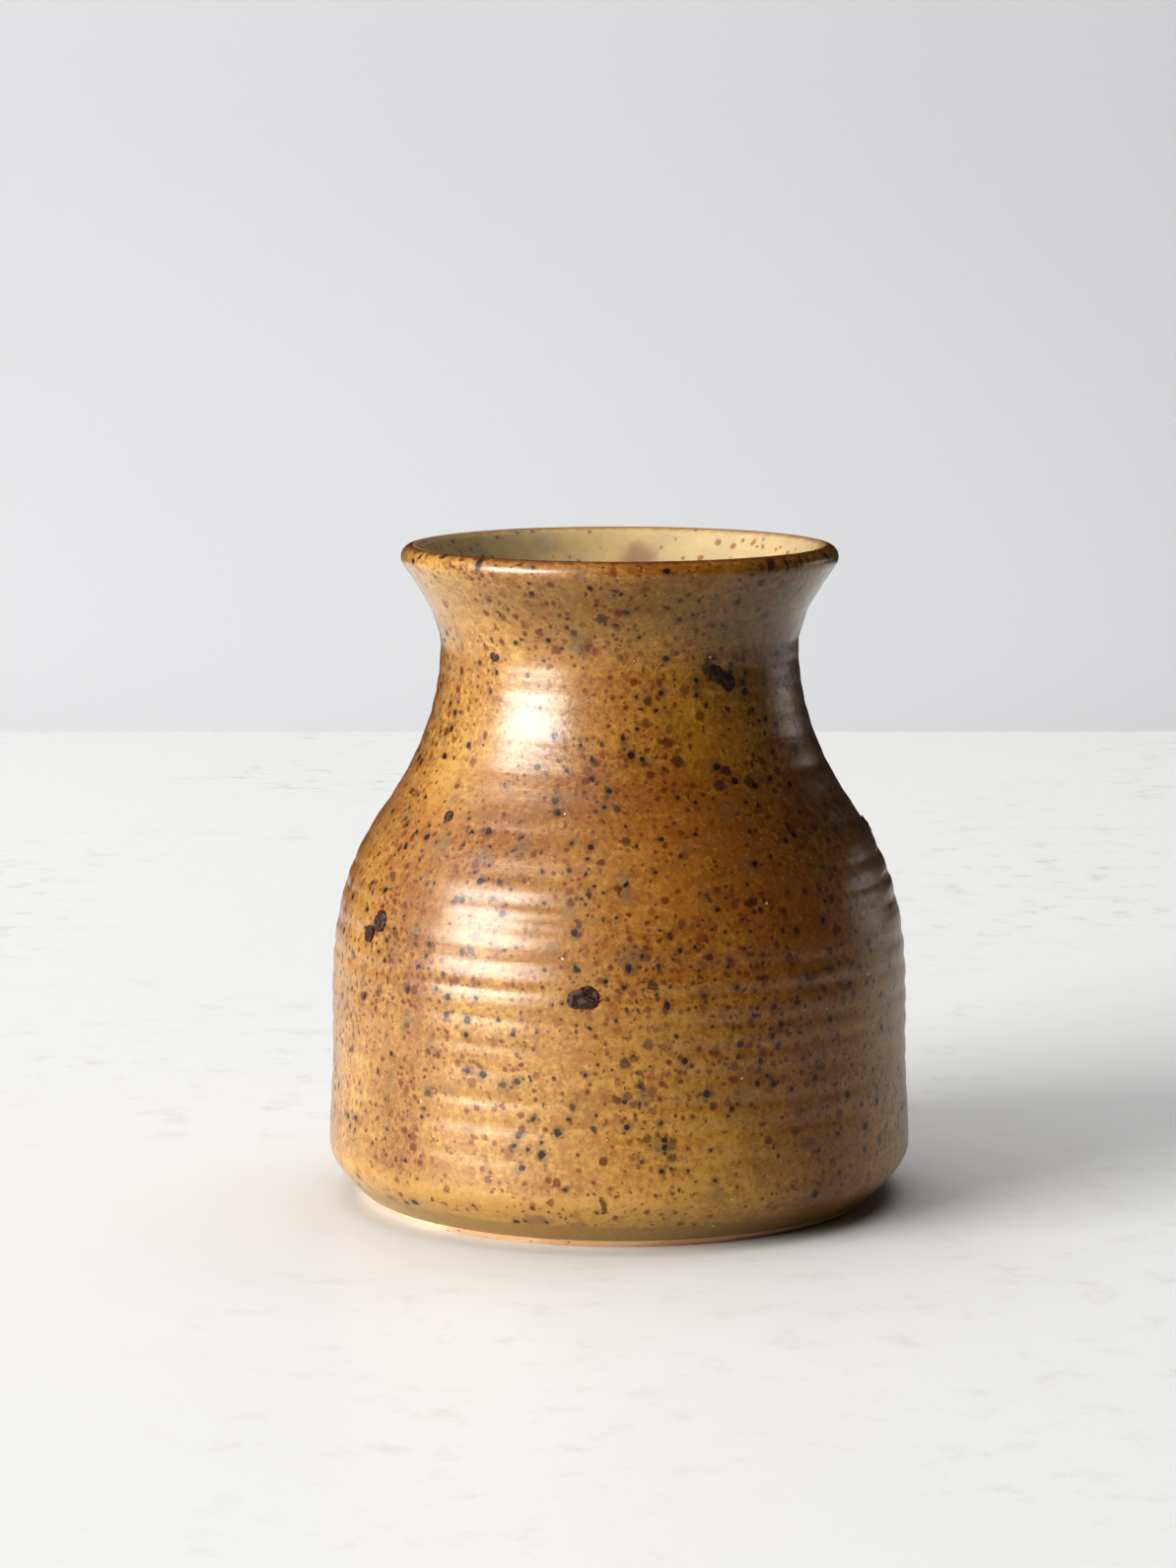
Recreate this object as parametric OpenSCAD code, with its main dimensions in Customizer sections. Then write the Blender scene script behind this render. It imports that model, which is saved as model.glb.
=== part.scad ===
// Thrown stoneware bud vase: clay body, outer glaze, liner glaze and iron spots.
// Millimetres, +Z up, origin at the centre of the foot where it stands on the table.

/* [Overall] */
// Height from the table to the crest of the lip
height = 127; // [100:0.5:160]
// Widest diameter, at the hip just above the foot bevel
belly_d = 113.4; // [90:0.2:140]

/* [Foot] */
// Diameter where the foot bevel meets the table
foot_d = 98.4; // [72:0.2:106]
// Height of the trimmed bevel, from the table to the hip
bevel_h = 10.5; // [8:0.5:14]
// Outward lean of the bevel at the table, in mm of radius for each mm of height
bevel_lean = 0.85; // [0.6:0.05:1]
// Height of bare clay left below the glaze line
bare_h = 1.6; // [1:0.1:3]
// Width of the flat ring that the vase stands on
foot_ring_w = 8; // [4:0.5:14]
// Depth of the recess turned out inside the foot ring
foot_recess = 1.5; // [0.5:0.1:2.5]

/* [Belly and shoulder] */
// Height where the straight belly wall begins to curve in
wall_h = 30; // [18:0.5:40]
// Diameter of the belly wall at that height
wall_d = 112; // [88:0.2:138]
// Distance from the lip down to the steepest part of the shoulder
shoulder_drop = 51.5; // [40:0.5:60]
// Diameter at the steepest part of the shoulder
shoulder_d = 92.2; // [78:0.2:110]
// Inward lean of the shoulder there, in mm of radius for each mm of height
shoulder_lean = 0.72; // [0.5:0.02:0.9]

/* [Neck and lip] */
// Distance from the lip down to the waist of the neck
neck_drop = 19; // [15:0.5:26]
// Diameter at the waist of the neck
neck_d = 69.3; // [56:0.1:84]
// Diameter across the rounded lip
lip_d = 84.4; // [68:0.2:102]
// Radius of the rounded lip
lip_r = 2.3; // [1.8:0.1:3]
// Outward lean of the flare under the lip, in mm of radius for each mm of height
flare_lean = 0.66; // [0.4:0.02:0.9]

/* [Clay and glaze] */
// Thickness of the wall, coats included
wall_t = 5; // [4:0.1:7]
// Thickness of the floor above the table, liner coat included
floor_t = 7; // [6:0.1:10]
// Radius of the corner where the inner wall meets the floor
corner_r = 10; // [5:0.5:16]
// Thickness of the glaze coats
glaze_t = 0.35; // [0.2:0.05:0.6]

/* [Iron spots] */
// How far the melted iron stands proud of the glaze
spot_proud = 0.2; // [0.1:0.05:0.4]

/* [Hidden] */
$fn = 96;

// Large iron spots on the belly: [height above the table, bearing from +X, radius].
// The front of the vase faces bearing -90.
belly_spots = [
    [48.2, -96.5, 2.2], [47.9, -98.5, 1.8], [58.2, -147, 2.1], [55.4, -150.5, 1.6],
    [38, 31, 1.3], [61, 88, 2.1], [58.6, 92, 1.5], [30, 118, 1.2], [44, 171, 1.6]
];
// Large iron spots on the shoulder and neck: [distance below the lip, bearing from +X, radius]
neck_spots = [
    [21.8, -59.5, 1.7], [23.8, -54.5, 1.7], [48.7, -137, 1.1], [19, -133, 1.1],
    [55, 4, 2], [31, 52, 1.4], [44, 139, 1.8]
];
spots = concat(belly_spots, [for (s = neck_spots) [height - s[0], s[1], s[2]]]);
// How far a spot's seat is cut beyond the wall, so that it always comes out clear
spot_reach = 4;

// Centre of the round of the lip
lip_cr = lip_d / 2 - lip_r;
lip_cz = height - lip_r;
// Angle at which the flare runs into that round
flare_angle = atan(flare_lean);
// Number of steps along each quarter turn of a round
arc_steps = 6;

// Heights of the steepest shoulder and of the waist
shoulder_z = height - shoulder_drop;
neck_z = height - neck_drop;

// Curve stations: [height, radius, lean]. The surface runs smoothly from one to the next.
outer_stations = [
    [0, foot_d / 2, bevel_lean],
    [bevel_h, belly_d / 2, 0],
    [wall_h, wall_d / 2, 0],
    [shoulder_z, shoulder_d / 2, -shoulder_lean],
    [neck_z, neck_d / 2, 0],
    [lip_cz - lip_r * sin(flare_angle), lip_cr + lip_r * cos(flare_angle), flare_lean]
];
// The inner wall lies one wall thickness inside, measured square to the surface.
inner_stations = [
    [bevel_h, belly_d / 2 - wall_t, 0],
    [wall_h, wall_d / 2 - wall_t, 0],
    [shoulder_z, shoulder_d / 2 - square_wall(shoulder_lean), -shoulder_lean],
    [neck_z, neck_d / 2 - wall_t, 0],
    [lip_cz + lip_r * sin(flare_angle), lip_cr - lip_r * cos(flare_angle), flare_lean]
];

// Level width of a leaning wall that is wall_t thick square to its surface
function square_wall(lean) = wall_t * sqrt(1 + lean * lean);

// Smooth blend from a to b as t goes from 0 to 1, leaving with slope ma and arriving with mb
function blend(t, a, b, ma, mb) =
    let (back = 1 - t)
    a * (1 + 2 * t) * back * back + ma * t * back * back
    + b * t * t * (3 - 2 * t) - mb * t * t * back;

// Index of the stretch of stations s that holds height z
function stretch(z, s, i = 0) = i == len(s) - 2 || z <= s[i + 1][0] ? i : stretch(z, s, i + 1);

// Radius at height z of the curve through stations s
function curve_r(z, s) =
    let (i = stretch(z, s), a = s[i], b = s[i + 1], rise = b[0] - a[0])
    blend((z - a[0]) / rise, a[1], b[1], a[2] * rise, b[2] * rise);

// Points of a round about (cr, cz) from one angle to another
function arc(cr, cz, r, from, to) =
    let (n = ceil(abs(to - from) / 90 * arc_steps))
    [for (i = [0 : n]) let (a = from + (to - from) * i / n) [cr + r * cos(a), cz + r * sin(a)]];

// The same points in the other direction
function backwards(points) = [for (i = [len(points) - 1 : -1 : 0]) points[i]];

// Even heights from one to another, no more than step apart, both ends left out
function heights(from, to, step) =
    let (n = ceil(abs(to - from) / step))
    [for (i = [1 : n - 1]) from + (to - from) * i / n];

// Closest spacing of the points up the bevel and up the walls
bevel_step = 2.2;
wall_step = 4;

// Outer outline from the glaze line up to the crest of the lip, lift mm outside the glazed surface
flare_z = outer_stations[len(outer_stations) - 1][0];
outer_zs = concat(bare_h, heights(bare_h, bevel_h, bevel_step), bevel_h, heights(bevel_h, flare_z, wall_step));
function outer_wall(lift) = concat(
    [for (z = outer_zs) [curve_r(z, outer_stations) + lift, z]],
    arc(lip_cr, lip_cz, lip_r + lift, -flare_angle, 90)
);

// Inner outline from the crest of the lip down to the axis, sink mm below the glazed surface
inner_flare_z = inner_stations[len(inner_stations) - 1][0];
corner_z = floor_t + corner_r;
corner_cr = curve_r(corner_z, inner_stations) - corner_r;
function inner_wall(sink) = concat(
    arc(lip_cr, lip_cz, lip_r - sink, 90, 180 - flare_angle),
    [for (z = heights(inner_flare_z, corner_z, wall_step)) [curve_r(z, inner_stations) + sink, z]],
    arc(corner_cr, corner_z, corner_r + sink, 0, -90),
    [[0, floor_t - sink]]
);

// Underside, from the axis out to the glaze line: recess, its sloping edge, foot ring, bare bevel
ring_inner_r = foot_d / 2 - glaze_t - foot_ring_w;
underside = [
    [0, foot_recess],
    [ring_inner_r - foot_recess, foot_recess],
    [ring_inner_r, 0],
    [foot_d / 2 - glaze_t, 0]
];

// Fired stoneware: floor, wall, neck, lip and the bare foot
module clay_body() {
    color("peru")
        rotate_extrude()
            polygon(concat(underside, outer_wall(-glaze_t), inner_wall(glaze_t)));
}

// A coat from the clay out to lift mm outside the glazed surface
module outer_coat(lift) {
    rotate_extrude()
        polygon(concat(outer_wall(lift), backwards(outer_wall(-glaze_t))));
}

// Round pegs that point outwards at every spot, cutting through the coat and not through the wall
module spot_pegs() {
    for (spot = spots)
        rotate([0, 0, spot[1]])
            translate([0, 0, spot[0]])
                rotate([0, 90, 0])
                    translate([0, 0, curve_r(spot[0], outer_stations) - spot_reach])
                        cylinder(r = spot[2], h = 2 * spot_reach);
}

// Amber coat on the outside, with a hole for each iron spot
module outer_glaze() {
    color("goldenrod")
        difference() {
            outer_coat(0);
            spot_pegs();
        }
}

// Coat poured inside, over the floor and the wall up to the crest of the lip
module liner_glaze() {
    color("darkkhaki")
        rotate_extrude()
            polygon(concat(inner_wall(0), backwards(inner_wall(glaze_t))));
}

// Iron that melted out of the clay, seated on it and filling its hole in the outer coat
module iron_spots() {
    color("saddlebrown")
        intersection() {
            outer_coat(spot_proud);
            spot_pegs();
        }
}

clay_body();
outer_glaze();
liner_glaze();
iron_spots();
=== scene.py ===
"""Looks of a thrown and glazed stoneware bud vase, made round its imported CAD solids.

Lengths are metres, or millimetres where a name ends in _mm, and every piece sits in the frame of
the solids: +Z up, the centre of the foot at the origin, the front of the vase towards -Y.
"""

import logging
import math
from collections.abc import Iterable, Mapping, Sequence
from dataclasses import dataclass, field
from enum import Enum
from functools import partial, reduce

import bpy
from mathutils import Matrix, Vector


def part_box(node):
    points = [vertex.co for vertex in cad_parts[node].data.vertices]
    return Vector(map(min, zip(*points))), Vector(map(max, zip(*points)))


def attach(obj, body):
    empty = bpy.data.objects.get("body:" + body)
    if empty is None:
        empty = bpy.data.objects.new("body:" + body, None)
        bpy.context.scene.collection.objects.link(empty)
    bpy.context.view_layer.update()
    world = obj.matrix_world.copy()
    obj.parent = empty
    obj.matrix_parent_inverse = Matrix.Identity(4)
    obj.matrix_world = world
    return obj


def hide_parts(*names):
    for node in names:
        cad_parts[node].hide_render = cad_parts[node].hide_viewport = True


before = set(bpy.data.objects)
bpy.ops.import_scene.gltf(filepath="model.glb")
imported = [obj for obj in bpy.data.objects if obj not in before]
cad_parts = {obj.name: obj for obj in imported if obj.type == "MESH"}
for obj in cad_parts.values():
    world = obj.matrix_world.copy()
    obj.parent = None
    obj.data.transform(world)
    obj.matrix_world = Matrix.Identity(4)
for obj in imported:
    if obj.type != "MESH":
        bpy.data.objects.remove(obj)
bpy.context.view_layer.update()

LOG = logging.getLogger("bud_vase")
MM = 0.001
BODY = "root"
SLANT_ALLOWANCE = 1.16  # how much longer the leaning wall is than it is high

Colour = tuple[float, float, float]
Point = tuple[float, float, float]
Socket = bpy.types.NodeSocket
Thing = bpy.types.Object
Feed = float | int | bool | str | Sequence[float] | bpy.types.ID | Socket
Feeds = Mapping[str | int, Feed]


class Skin(Enum):
    """The four kinds of surface on the vase, named as the record's material slots."""

    CLAY = "clay"
    AMBER = "amber_glaze"
    LINER = "liner_glaze"
    IRON = "melted_iron"


# Node trees


class Bench:
    """A node tree on the bench, with one method for each kind of step that the recipes use."""

    def __init__(self, tree: bpy.types.NodeTree) -> None:
        """Takes the empty tree to build in."""
        self.tree = tree

    def add(self, kind: str, feeds: Feeds | None = None, **settings: object) -> bpy.types.Node:
        """Adds a node.

        Args:
            kind: The node's type name.
            feeds: What goes into each input, by the input's name or number.
            **settings: Properties of the node, set before its inputs.

        Returns:
            The new node.
        """
        node = self.tree.nodes.new(kind)
        for name, value in settings.items():
            setattr(node, name, value)
        for key, value in (feeds or {}).items():
            self.feed(node.inputs[key], value)
        return node

    def out(self, kind: str, feeds: Feeds | None = None, **settings: object) -> Socket:
        """Adds a node and returns its first output."""
        return self.add(kind, feeds, **settings).outputs[0]

    def feed(self, socket: Socket, value: Feed) -> None:
        """Links a socket to another one, or sets its own value.

        Args:
            socket: The input to feed.
            value: The output to link from, or a plain value.
        """
        if isinstance(value, Socket):
            self.tree.links.new(value, socket)
        elif isinstance(value, tuple) and len(value) == 3 and socket.type == "RGBA":
            socket.default_value = (*value, 1.0)
        else:
            socket.default_value = value

    def math(self, operation: str, a: Feed, b: Feed = 0.0, c: Feed = 0.0, clamp: bool = False) -> Socket:
        """Does one sum.

        Args:
            operation: The Math node's operation.
            a: First number.
            b: Second number, if there is one.
            c: Third number, if there is one.
            clamp: Whether the answer is kept from 0 to 1.

        Returns:
            The answer.
        """
        node = self.add("ShaderNodeMath", operation=operation, use_clamp=clamp)
        for socket, value in zip(node.inputs, (a, b, c)):
            self.feed(socket, value)
        return node.outputs[0]

    def total(self, *values: Feed) -> Socket:
        """Adds numbers up."""
        return reduce(partial(self.math, "ADD"), values)

    def product(self, *values: Feed) -> Socket:
        """Multiplies numbers together."""
        return reduce(partial(self.math, "MULTIPLY"), values)

    def most(self, *values: Feed) -> Socket:
        """Takes the largest of some numbers."""
        return reduce(partial(self.math, "MAXIMUM"), values)

    def less(self, a: Feed, b: Feed) -> Socket:
        """Takes b away from a."""
        return self.math("SUBTRACT", a, b)

    def scaled(self, value: Feed, factor: Feed, base: Feed) -> Socket:
        """Multiplies a number by a factor and adds it to a base."""
        return self.math("MULTIPLY_ADD", value, factor, base)

    def vector(self, operation: str, a: Feed, b: Feed = (0.0, 0.0, 0.0)) -> Socket:
        """Does one sum on vectors.

        Args:
            operation: The Vector Math node's operation.
            a: First vector.
            b: Second vector, or the factor of SCALE.

        Returns:
            The answer, a number for DISTANCE, LENGTH and DOT_PRODUCT.
        """
        node = self.add("ShaderNodeVectorMath", {0: a}, operation=operation)
        self.feed(node.inputs["Scale" if operation == "SCALE" else 1], b)
        return node.outputs["Value" if operation in {"DISTANCE", "LENGTH", "DOT_PRODUCT"} else "Vector"]

    def split(self, vector: Feed) -> tuple[Socket, ...]:
        """Splits a vector into its three numbers."""
        return tuple(self.add("ShaderNodeSeparateXYZ", {0: vector}).outputs)

    def join(self, x: Feed, y: Feed, z: Feed) -> Socket:
        """Makes a vector of three numbers."""
        return self.out("ShaderNodeCombineXYZ", {0: x, 1: y, 2: z})

    def span(self, value: Feed, start: float, end: float, low: float = 0.0, high: float = 1.0) -> Socket:
        """Runs smoothly from low to high as a number goes from start to end.

        Args:
            value: The number.
            start: Where the run begins. It may be above end.
            end: Where the run stops.
            low: The answer at start.
            high: The answer at end.

        Returns:
            The answer, held at low and high beyond the run.
        """
        feeds = {"Value": value, "From Min": start, "From Max": end, "To Min": low, "To Max": high}
        node = self.add("ShaderNodeMapRange", feeds, interpolation_type="SMOOTHSTEP", clamp=True)
        return node.outputs["Result"]

    def belt(self, value: Feed, centre: float, half: float, soft: float) -> Socket:
        """Gives 1 on a belt of numbers about a centre and 0 outside it, with an edge soft wide."""
        away = self.math("ABSOLUTE", self.less(value, centre))
        return self.span(away, half + soft / 2, half - soft / 2)

    def noise(self, vector: Feed, scale: Feed, detail: float = 2.0, roughness: float = 0.5) -> Socket:
        """Reads smooth noise about 0.5, with scale lumps to a unit and detail octaves of finer noise."""
        feeds = {"Vector": vector, "Scale": scale, "Detail": detail, "Roughness": roughness}
        return self.out("ShaderNodeTexNoise", feeds)


class Glazing(Bench):
    """A material's tree, with the marks that a kiln leaves as methods. It works in millimetres."""

    def __init__(self, name: str) -> None:
        """Starts a material.

        Args:
            name: Its name.
        """
        self.material = bpy.data.materials.new(name)
        self.material.use_nodes = True
        super().__init__(self.material.node_tree)
        self.tree.nodes.clear()
        self.shader = self.add("ShaderNodeBsdfPrincipled")
        self.add("ShaderNodeOutputMaterial", {0: self.shader.outputs[0]})
        coordinates = self.add("ShaderNodeTexCoord").outputs
        self.place = self.vector("SCALE", coordinates["Object"], 1 / MM)
        self.outward = coordinates["Normal"]
        self.x, self.y, self.z = self.split(self.place)
        self.colour: Feed = (0.5, 0.5, 0.5)

    def shifted(self, amount: float) -> Socket:
        """Moves the place read to another part of the noise, so that two marks differ."""
        return self.vector("ADD", self.place, (amount, 0.37 * amount, 0.71 * amount))

    def ragged(self, reach_mm: float, grain_mm: float, seed: float = 0.0) -> Socket:
        """Shakes the place read, which makes the edges of a mark ragged.

        Args:
            reach_mm: How far a point is moved.
            grain_mm: Size of the lumps that move together.
            seed: Which stretch of noise is used.

        Returns:
            The shaken place.
        """
        feeds = {"Vector": self.shifted(seed), "Scale": 1 / grain_mm, "Detail": 2.0}
        shake = self.add("ShaderNodeTexNoise", feeds).outputs["Color"]
        centred = self.vector("SUBTRACT", shake, (0.5, 0.5, 0.5))
        return self.vector("ADD", self.place, self.vector("SCALE", centred, 2 * reach_mm))

    def specks(
        self, place: Feed, cell_mm: float, size_mm: float, soft_mm: float, share: Feed, seed: float
    ) -> tuple[Socket, Socket]:
        """Scatters specks over the surface, one to a cell at most.

        Args:
            place: Where to read them.
            cell_mm: Size of a cell.
            size_mm: Radius of the largest speck.
            soft_mm: Width of the soft edge.
            share: Share of the cells that hold a speck.
            seed: Which scatter is used.

        Returns:
            The specks' mask, and a number from 0 to 1 that differs from speck to speck.
        """
        where = self.vector("ADD", place, (seed, -seed, 2 * seed))
        cells = self.add("ShaderNodeTexVoronoi", {"Vector": where, "Scale": 1 / cell_mm}, feature="F1")
        draw = self.split(cells.outputs["Color"])
        offset = self.vector("SUBTRACT", where, cells.outputs["Position"])
        depth = self.vector("DOT_PRODUCT", offset, self.outward)
        along = self.vector("SUBTRACT", offset, self.vector("SCALE", self.outward, depth))
        away = self.vector("LENGTH", along)
        size = self.scaled(self.product(draw[0], draw[0]), 0.6 * size_mm, 0.4 * size_mm)
        inside = self.math("DIVIDE", self.less(size, away), soft_mm)
        held = self.math("LESS_THAN", draw[1], share)
        return self.product(self.span(inside, -0.5, 0.5), held), draw[2]

    def patch(self, centre_mm: Point, radius_mm: float, soft_mm: float, place: Feed) -> Socket:
        """Gives 1 in a round patch and 0 outside, its radius at the middle of its soft edge."""
        away = self.vector("DISTANCE", place, centre_mm)
        return self.span(away, radius_mm + soft_mm / 2, radius_mm - soft_mm / 2)

    def worn_crest(self, height_mm: float, share: float) -> Socket:
        """Marks where a coat is rubbed thin on the crest of the lip, at most by a share."""
        worn = self.scaled(self.noise(self.place, 0.45, 3.0, 0.6), 1.6, self.z)
        return self.span(worn, height_mm + 0.1, height_mm + 0.7, 0.0, share)

    def lay(self, share: Feed, over: Feed, kind: str = "MIX") -> None:
        """Lays a colour over the colour so far.

        Args:
            share: How much of it shows.
            over: The colour.
            kind: How the two mix, a blend type of the Mix node.
        """
        node = self.add("ShaderNodeMix", data_type="RGBA", blend_type=kind, clamp_factor=True)
        self.feed(node.inputs[0], share)
        self.feed(node.inputs[6], self.colour)
        self.feed(node.inputs[7], over)
        self.colour = node.outputs[2]

    def tones(self, value: Feed, *stops: tuple[float, Colour]) -> Socket:
        """Turns a number into a colour.

        Args:
            value: The number.
            *stops: Each number and the colour it gives, lowest first.

        Returns:
            The colour.
        """
        node = self.add("ShaderNodeValToRGB", {0: value})
        ramp = node.color_ramp
        ramp.interpolation = "EASE"
        while len(ramp.elements) < len(stops):
            ramp.elements.new(0.5)
        for element, (at, colour) in zip(ramp.elements, stops):
            element.position = at
            element.color = (*colour, 1.0)
        return node.outputs[0]

    def mark(self, name: str) -> Socket:
        """Reads a number that was stored on the piece's points."""
        return self.add("ShaderNodeAttribute", attribute_name=name, attribute_type="GEOMETRY").outputs["Fac"]

    def relief(self, height_mm: Feed) -> None:
        """Bends the surface's normal by a height.

        Args:
            height_mm: The height, in millimetres.
        """
        metres = self.product(height_mm, MM)
        bump = self.out("ShaderNodeBump", {"Height": metres, "Strength": 1.0, "Distance": 1.0})
        self.feed(self.shader.inputs["Normal"], bump)

    def finish(self, roughness: Feed, **uniform: float) -> bpy.types.Material:
        """Feeds the shader with the colour so far.

        Args:
            roughness: Roughness.
            **uniform: Other inputs, each one number, with _ for a space in the name.

        Returns:
            The material.
        """
        self.feed(self.shader.inputs["Base Color"], self.colour)
        self.feed(self.shader.inputs["Roughness"], roughness)
        for name, value in uniform.items():
            self.shader.inputs[name.replace("_", " ")].default_value = value
        return self.material


# Finishes


@dataclass(frozen=True)
class SoftPatch:
    """A broad soft patch on the glaze: some are its own colour, some painted shade, as noted at each."""

    centre_mm: Point
    radius_mm: float
    soft_mm: float
    share: float
    tint: Colour


@dataclass(frozen=True)
class Speckle:
    """A layer of specks in the glaze. Each speck's strength runs from weak to strong with its own draw."""

    name: str
    cell_mm: float
    size_mm: float
    soft_mm: float
    share: float
    seed: float
    weak: float
    strong: float
    tint: Colour
    torn: bool = False
    faced: bool = False
    full_draw: float = 1.0


@dataclass(frozen=True)
class AmberGlaze:
    """Satin amber coat, speckled with iron that bled up out of the clay.

    The marks named iron_gap (metres to the nearest large iron spot, negative inside it) and
    throw_line (0 in a groove, 1 on a ridge) are read from the piece's points.
    """

    height_mm: float
    deep: Colour = (0.215, 0.094, 0.012)
    amber: Colour = (0.312, 0.156, 0.021)
    honey: Colour = (0.420, 0.240, 0.048)
    olive: Colour = (0.180, 0.122, 0.026)
    rust: Colour = (0.125, 0.033, 0.009)
    russet: Colour = (0.185, 0.066, 0.012)
    umber: Colour = (0.060, 0.024, 0.012)
    ink: Colour = (0.021, 0.011, 0.010)
    ash: Colour = (0.120, 0.095, 0.062)
    soot_and_shade: Colour = (0.030, 0.018, 0.009)
    # Only used for the painted light low on the wall's left side.
    straw: Colour = (0.46, 0.28, 0.085)
    # Painted sheen: a bluish-white lift that stands in for the window's broad reflection on the left.
    painted_sheen: Colour = (0.0, 0.014, 0.032)
    white: Colour = (0.75, 0.68, 0.58)
    soft_patches: tuple[SoftPatch, ...] = (
        # Painted shade: a soot-dark patch on the right of the neck, away from the light.
        SoftPatch((30.0, -24.0, 115.0), 18.0, 20.0, 0.6, soot_and_shade),
        # Partly russet glaze and partly painted shade: darker and redder right of the front, where the light
        # falls off.
        SoftPatch((32.0, -44.0, 56.0), 30.0, 34.0, 0.78, russet),
        SoftPatch((52.0, -10.0, 84.0), 30.0, 34.0, 0.92, soot_and_shade),
        SoftPatch((54.0, -18.0, 50.0), 22.0, 26.0, 0.35, olive),
        SoftPatch((-20.0, 50.0, 95.0), 24.0, 30.0, 0.45, soot_and_shade),
    )
    speckles: tuple[Speckle, ...] = (
        Speckle("fine", 1.9, 0.52, 0.4, 0.68, 31.0, 0.4, 0.9, rust),
        Speckle("pepper", 2.3, 0.5, 0.35, 0.42, 203.0, 0.4, 0.9, umber),
        Speckle("rusty", 3.0, 1.0, 0.6, 0.48, 57.0, 0.5, 0.95, rust),
        Speckle("halo", 3.4, 1.6, 1.2, 0.42, 83.0, 0.3, 0.3, umber, torn=True),
        Speckle("dots", 3.4, 0.76, 0.42, 0.42, 83.0, 0.7, 0.98, ink, full_draw=0.4),
        Speckle("clots", 4.4, 1.15, 0.6, 0.4, 311.0, 0.5, 0.92, umber, torn=True, faced=True),
    )
    smear: tuple[tuple[Point, float], ...] = (((16.1, -30.7, 106.2), 1.3), ((18.9, -29.1, 104.2), 1.5))

    def band(self, bench: Glazing) -> Socket:
        """Marks the smooth band on the trimmed foot, where the coat has no specks.

        Args:
            bench: The material's tree.

        Returns:
            1 on the band.
        """
        waver = bench.noise(bench.place, 0.12, 3.0)
        edge = bench.scaled(waver, 2.4, bench.less(bench.z, 1.2))
        return bench.span(edge, 5.3, 4.6)

    def ground(self, bench: Glazing) -> Socket:
        """Colours the glass under its specks.

        Args:
            bench: The material's tree.

        Returns:
            The colour.
        """
        clouds = bench.noise(bench.place, 0.045, 3.0, 0.6)
        dapple = bench.noise(bench.shifted(40), 0.32, 4.0, 0.65)
        stretched = bench.vector("MULTIPLY", bench.ragged(2.0, 14.0), (0.03, 0.03, 0.55))
        thrown = bench.noise(stretched, 1.0, 3.0, 0.6)
        grit = bench.noise(bench.shifted(64), 0.95, 3.0, 0.7)
        tone = bench.total(
            bench.product(clouds, 0.38),
            bench.product(dapple, 0.30),
            bench.product(thrown, 0.20),
            bench.scaled(grit, 0.60, -0.24),
        )
        ridge = bench.mark("throw_line")
        tone = bench.scaled(bench.less(ridge, 0.75), 0.24, tone)
        return bench.tones(tone, (0.33, self.deep), (0.5, self.amber), (0.66, self.honey))

    def zones(self, bench: Glazing) -> None:
        """Lays on a painted sheen on the left, painted straw light low on the left, a russet shoulder, an
        olive collar deepened by painted shade, and the soft patches, some of them painted shade.

        Args:
            bench: The material's tree.
        """
        shaken = bench.ragged(9.0, 26.0, 7.0)
        east, _, drift = bench.split(shaken)
        broken = bench.span(bench.noise(bench.shifted(90), 0.5, 3.0, 0.7), 0.3, 0.7, 0.45, 1.0)
        # Painted sheen on the side towards the window.
        bench.lay(bench.span(east, 16.0, -14.0), self.painted_sheen, "ADD")
        # Painted light: straw laid low on the wall's left side, standing in for light thrown up off the
        # table.
        bevel = bench.product(bench.span(bench.z, 13.0, 9.5), bench.span(bench.x, 34.0, -6.0), 0.6)
        bench.lay(bevel, self.straw)
        shoulder = bench.product(bench.belt(drift, 68.0, 16.0, 18.0), broken, 0.5)
        bench.lay(shoulder, self.russet)
        # Olive collar under the lip, partly the glaze's olive and partly painted shade: heavier towards the
        # right, away from the light.
        side = bench.span(bench.x, -30.0, 15.0, 0.3, 1.0)
        collar = bench.product(bench.belt(drift, 117.0, 5.5, 7.0), broken, side, 0.75)
        bench.lay(collar, self.olive)
        for soft_patch in self.soft_patches:
            patch = bench.patch(soft_patch.centre_mm, soft_patch.radius_mm, soft_patch.soft_mm, shaken)
            bench.lay(bench.product(patch, broken, soft_patch.share), soft_patch.tint)

    def material(self) -> bpy.types.Material:
        """Mixes the glaze.

        Returns:
            The material.
        """
        bench = Glazing("amber_glaze_finish")
        band = self.band(bench)
        clean = bench.less(1.0, band)
        bench.colour = self.ground(bench)
        self.zones(bench)
        shaken = bench.ragged(0.32, 0.9, 3.0)
        torn = bench.ragged(0.9, 2.2, 9.0)
        gathered = bench.span(bench.noise(bench.shifted(55), 0.06, 3.0), 0.34, 0.66, 0.25, 1.35)
        crowd = bench.product(gathered, bench.span(bench.z, 6.0, 42.0, 0.45, 1.05))
        facing = bench.span(bench.x, -20.0, 12.0, 0.2, 1.0)
        blot, blot_draw = bench.specks(torn, 3.2, 1.5, 1.4, bench.product(crowd, 0.62), 17.0)
        bench.lay(bench.product(blot, clean, blot_draw, 0.5), self.russet)
        mottle = bench.span(bench.noise(bench.shifted(15), 0.75, 3.0, 0.65), 0.52, 0.68)
        bench.lay(bench.product(mottle, clean, crowd, 0.72), self.russet)
        flecks = bench.span(bench.noise(bench.shifted(35), 1.1, 3.0, 0.65), 0.54, 0.68)
        bench.lay(bench.product(flecks, clean, 0.35), self.honey)
        smudge, smudge_draw = bench.specks(torn, 9.0, 2.6, 2.4, 0.4, 151.0)
        bench.lay(bench.product(smudge, clean, smudge_draw, 0.5), self.ash)
        masks = {}
        for layer in self.speckles:
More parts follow.
